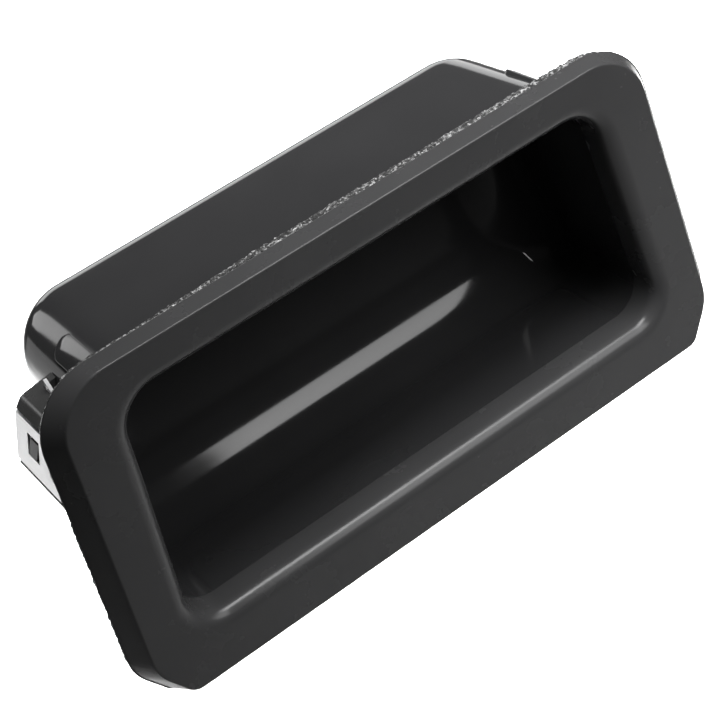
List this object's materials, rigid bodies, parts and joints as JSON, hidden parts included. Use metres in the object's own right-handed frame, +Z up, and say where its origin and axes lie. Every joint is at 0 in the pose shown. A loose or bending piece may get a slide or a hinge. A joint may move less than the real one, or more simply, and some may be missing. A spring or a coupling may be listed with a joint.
{
  "type": "recessed pull handle",
  "caption": "Recessed pull-cup handle for a vehicle door or tailgate trim panel, with a flared bezel, a deep pocket and side spring clips.",
  "frame": {"origin": "centre of the flange on its seat plane, where the back rim of the bezel's skirt lies", "axes": "+X along the handle's length, +Y into the panel, +Z up towards the flange's narrow edge"},
  "size_m": [0.1508, 0.052, 0.0755],
  "materials": {
    "bezel_plastic": "fine satin moulded black",
    "cup_plastic": "semi-gloss moulded black",
    "carrier_plastic": "matt moulded black",
    "foam": "cut dark grey foam",
    "spring_steel": "bright plated spring steel"
  },
  "bodies": {
    "handle": {"bezel": "bezel_plastic", "cup": "cup_plastic", "upper_gasket": "foam", "lower_gasket": "foam", "left_clip_carrier": "carrier_plastic", "right_clip_carrier": "carrier_plastic", "left_clip_base": "spring_steel", "right_clip_base": "spring_steel"},
    "left_leaf": {"left_clip_leaf": "spring_steel"},
    "right_leaf": {"right_clip_leaf": "spring_steel"}
  },
  "joints": [
    {"name": "left_leaf_flex", "type": "hinge", "parent": "handle", "child": "left_leaf", "pos_m": [-0.0684, 0.012, 0.0234], "axis": [0, -1, 0], "range_deg": [0, 8], "stiffness_Nm_per_rad": 0.2},
    {"name": "right_leaf_flex", "type": "hinge", "parent": "handle", "child": "right_leaf", "pos_m": [0.0684, 0.012, 0.0234], "axis": [0, 1, 0], "range_deg": [0, 8], "stiffness_Nm_per_rad": 0.2}
  ]
}
